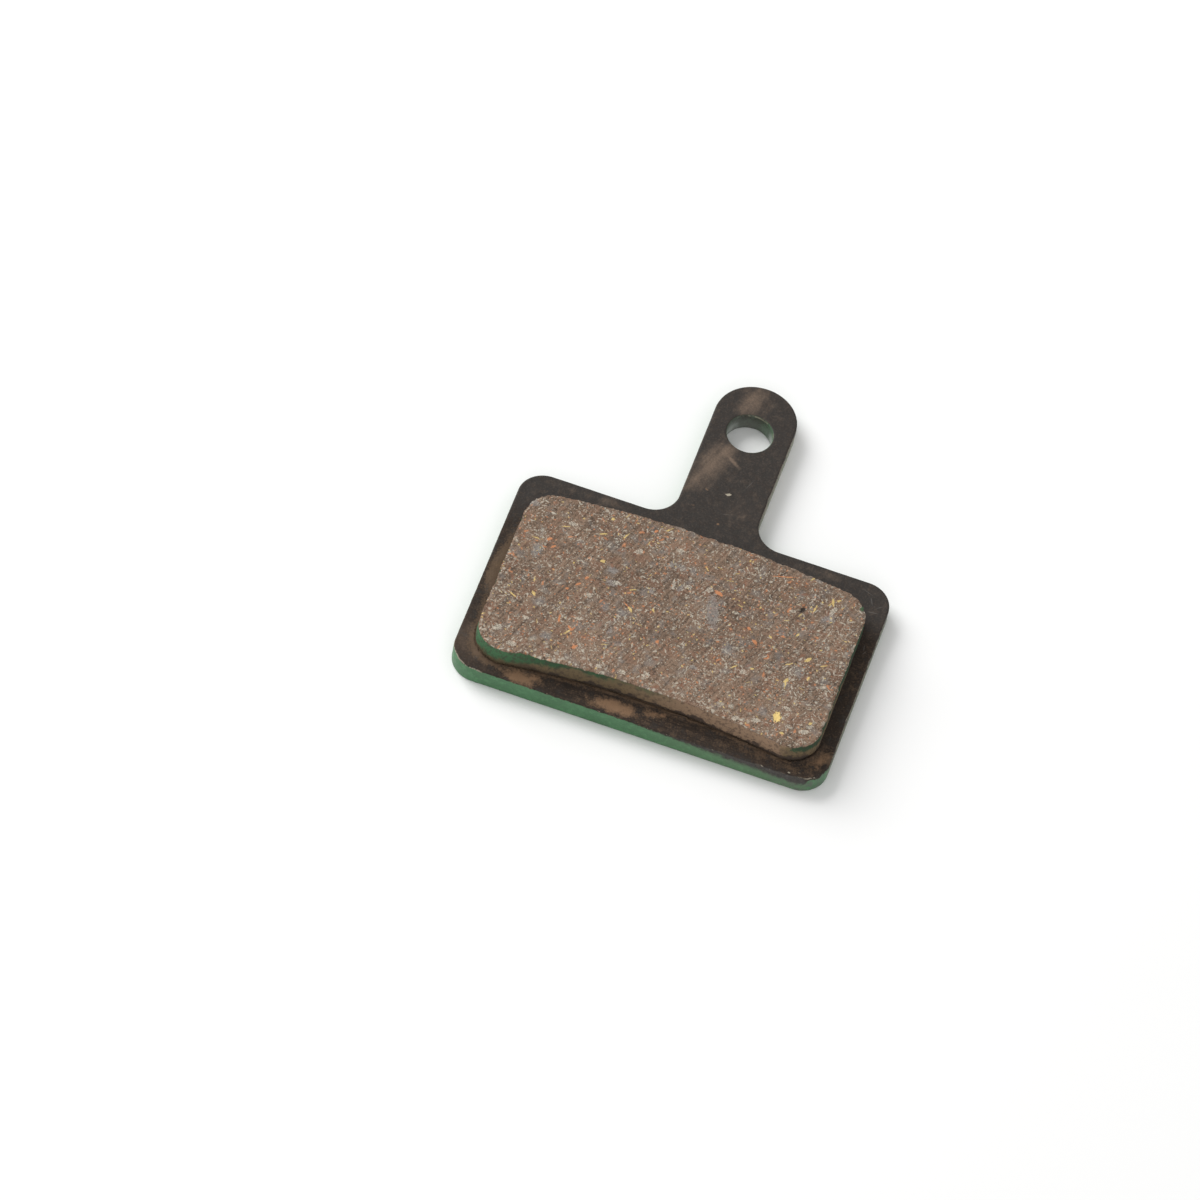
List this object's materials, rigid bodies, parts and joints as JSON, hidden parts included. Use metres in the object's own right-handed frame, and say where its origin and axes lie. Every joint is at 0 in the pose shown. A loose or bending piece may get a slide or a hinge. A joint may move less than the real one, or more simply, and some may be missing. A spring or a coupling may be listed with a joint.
{
  "type": "bicycle disc brake pad",
  "caption": "Brake pad for a bicycle disc brake: a flat steel backing plate with a round-tipped tab and a pin hole, carrying an arc-sided friction block.",
  "frame": {"origin": "middle of the backing plate's rectangular body, on its back face, where the caliper piston pushes", "axes": "+Y along the tab, towards its tip; +Z out of the friction face, towards the rotor; +X along the plate's width"},
  "size_m": [0.029, 0.0333, 0.0033],
  "materials": {
    "plate_paint": "satin",
    "friction_compound": "matte"
  },
  "bodies": {
    "root": {"backing_plate": "plate_paint", "friction_block": "friction_compound"}
  },
  "joints": []
}
